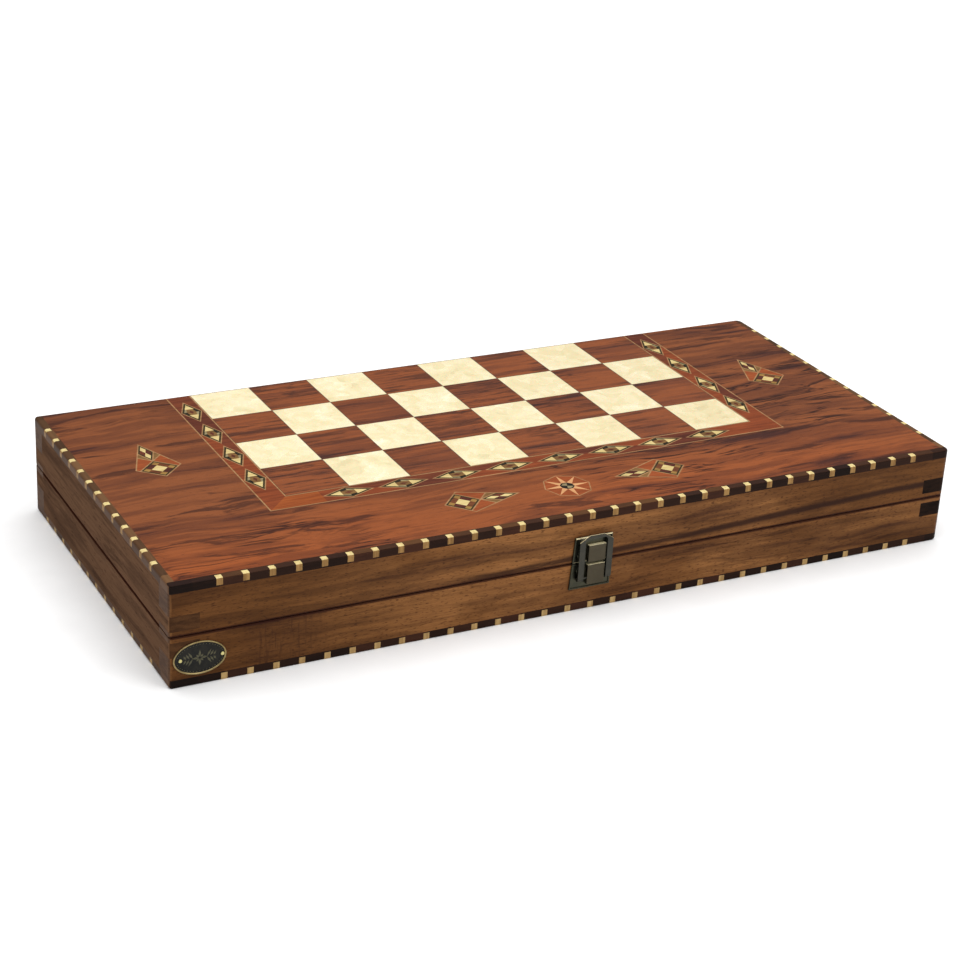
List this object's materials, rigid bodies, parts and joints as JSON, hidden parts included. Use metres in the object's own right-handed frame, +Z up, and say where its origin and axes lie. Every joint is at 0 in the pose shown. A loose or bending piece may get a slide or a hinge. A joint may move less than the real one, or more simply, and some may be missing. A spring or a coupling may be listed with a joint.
{
  "type": "backgammon set",
  "caption": "Folding wooden backgammon case with an inlaid chess pattern, dark and light edge banding, metal front latch, back hinges, checkers and dice.",
  "frame": {"origin": "bottom centre of the closed case, midway between the latch's front and the hinges' back", "axes": "+X along the case's length, +Y towards the hinged back, +Z up through the closed lid"},
  "size_m": [0.5, 0.2422, 0.0608],
  "materials": {
    "walnut_stained_wall": "satin varnish over stained wood",
    "panel_board": "bare ply edge",
    "bubinga_veneer": "satin lacquer",
    "pearl_squares": "cloudy pearl, glossy",
    "dark_squares": "satin lacquer",
    "padauk_band": "satin lacquer",
    "marquetry": "small inlaid woods, satin lacquer",
    "dark_banding": "satin lacquer",
    "light_blocks": "satin lacquer",
    "field_wood": "satin lacquer",
    "light_points": "satin lacquer",
    "dark_points": "satin lacquer",
    "hinge_brass": "brushed",
    "hinge_steel": "plain",
    "latch_metal": "dark plated, satin",
    "nameplate_metal": "brass rim on a blackened field",
    "brass_pins": "polished",
    "light_checker_wood": "turned, lacquered",
    "dark_checker_wood": "turned, lacquered",
    "die_plastic": "polished, with pips sunk in"
  },
  "bodies": {
    "lower_case": {"lower_front_wall": "walnut_stained_wall", "lower_back_wall": "walnut_stained_wall", "lower_left_wall": "walnut_stained_wall", "lower_right_wall": "walnut_stained_wall", "lower_panel": "panel_board", "lower_outer_veneer": "bubinga_veneer", "lower_light_squares": "pearl_squares", "lower_dark_squares": "dark_squares", "lower_border_band": "padauk_band", "lower_motif_inlays": "marquetry", "lower_front_banding": "dark_banding", "lower_left_banding": "dark_banding", "lower_right_banding": "dark_banding", "lower_edge_blocks": "light_blocks", "lower_field_veneer": "field_wood", "lower_light_points": "light_points", "lower_dark_points": "dark_points", "lower_hinge_screws": "hinge_steel", "lower_latch_nails": "latch_metal", "left_hinge_lower_leaf": "hinge_brass", "right_hinge_lower_leaf": "hinge_brass", "hinge_pins": "hinge_steel", "latch_base_plate": "latch_metal", "latch_pin": "hinge_steel", "nameplate": "nameplate_metal", "nameplate_pins": "brass_pins"},
    "upper_case": {"upper_front_wall": "walnut_stained_wall", "upper_back_wall": "walnut_stained_wall", "upper_left_wall": "walnut_stained_wall", "upper_right_wall": "walnut_stained_wall", "upper_panel": "panel_board", "upper_outer_veneer": "bubinga_veneer", "upper_light_squares": "pearl_squares", "upper_dark_squares": "dark_squares", "upper_border_band": "padauk_band", "upper_motif_inlays": "marquetry", "upper_front_banding": "dark_banding", "upper_left_banding": "dark_banding", "upper_right_banding": "dark_banding", "upper_edge_blocks": "light_blocks", "upper_field_veneer": "field_wood", "upper_light_points": "light_points", "upper_dark_points": "dark_points", "upper_hinge_screws": "hinge_steel", "upper_latch_nails": "latch_metal", "left_hinge_upper_leaf": "hinge_brass", "right_hinge_upper_leaf": "hinge_brass", "latch_catch_plate": "latch_metal"},
    "latch_frame": {"latch_frame": "latch_metal"},
    "light_checkers_front": {"light_checkers_front": "light_checker_wood"},
    "dark_checkers_front": {"dark_checkers_front": "dark_checker_wood"},
    "light_checkers_middle": {"light_checkers_middle": "light_checker_wood"},
    "dark_checkers_middle": {"dark_checkers_middle": "dark_checker_wood"},
    "light_checkers_back": {"light_checkers_back": "light_checker_wood"},
    "dark_checkers_back": {"dark_checkers_back": "dark_checker_wood"},
    "left_die": {"left_die": "die_plastic"},
    "right_die": {"right_die": "die_plastic"}
  },
  "joints": [
    {"name": "lid_hinge", "type": "hinge", "parent": "lower_case", "child": "upper_case", "pos_m": [0, 0.1188, 0.0304], "axis": [-1, 0, 0], "range_deg": [0, 180]},
    {"name": "latch_swing", "type": "hinge", "parent": "lower_case", "child": "latch_frame", "pos_m": [0.002, -0.1196, 0.021], "axis": [1, 0, 0], "range_deg": [0, 115]},
    {"name": "light_checkers_front_lift", "type": "slide", "parent": "lower_case", "child": "light_checkers_front", "axis": [0, 0, 1], "range_m": [0, 0.026]},
    {"name": "light_checkers_middle_lift", "type": "slide", "parent": "lower_case", "child": "light_checkers_middle", "axis": [0, 0, 1], "range_m": [0, 0.026]},
    {"name": "light_checkers_back_lift", "type": "slide", "parent": "lower_case", "child": "light_checkers_back", "axis": [0, 0, 1], "range_m": [0, 0.026]},
    {"name": "dark_checkers_front_lift", "type": "slide", "parent": "lower_case", "child": "dark_checkers_front", "axis": [0, 0, 1], "range_m": [0, 0.026]},
    {"name": "dark_checkers_middle_lift", "type": "slide", "parent": "lower_case", "child": "dark_checkers_middle", "axis": [0, 0, 1], "range_m": [0, 0.026]},
    {"name": "dark_checkers_back_lift", "type": "slide", "parent": "lower_case", "child": "dark_checkers_back", "axis": [0, 0, 1], "range_m": [0, 0.026]},
    {"name": "left_die_lift", "type": "slide", "parent": "lower_case", "child": "left_die", "axis": [0, 0, 1], "range_m": [0, 0.026]},
    {"name": "right_die_lift", "type": "slide", "parent": "lower_case", "child": "right_die", "axis": [0, 0, 1], "range_m": [0, 0.026]}
  ]
}
